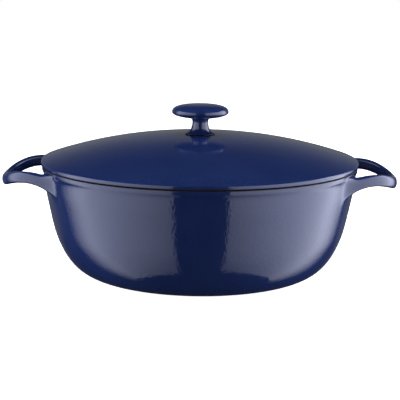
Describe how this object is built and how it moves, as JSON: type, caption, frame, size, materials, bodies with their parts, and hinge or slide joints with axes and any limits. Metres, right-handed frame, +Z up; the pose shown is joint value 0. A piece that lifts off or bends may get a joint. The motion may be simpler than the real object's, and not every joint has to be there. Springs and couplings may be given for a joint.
{
  "type": "covered casserole",
  "caption": "Round enamelled cast-iron casserole: bowl-shaped pot with open loop handles and a low domed lid lifted by a disc knob.",
  "frame": {"origin": "middle of the base, on the surface that the pot stands on", "axes": "+Z up along the pot's axis, +X towards the right handle, -Y towards the front"},
  "size_m": [0.3738, 0.3, 0.1605],
  "materials": {
    "blue_enamel": "cast iron under glossy cobalt-blue vitreous enamel, with a matte black rim and a pale enamel inside",
    "zinc_steel": "zinc-plated steel, satin"
  },
  "bodies": {
    "pot": {"pot": "blue_enamel"},
    "lid_fastener": {"knob_screw": "zinc_steel", "flat_washer": "zinc_steel", "lock_washer": "zinc_steel"},
    "lid": {"lid": "blue_enamel", "knob": "blue_enamel"}
  },
  "joints": [
    {"name": "lid_lift", "type": "slide", "parent": "pot", "child": "lid_fastener", "axis": [0, 0, 1], "range_m": [0, 0.15]},
    {"name": "lid_turn", "type": "hinge", "parent": "lid_fastener", "child": "lid", "pos_m": [0, 0, 0.1045], "axis": [0, 0, 1], "continuous": true}
  ]
}
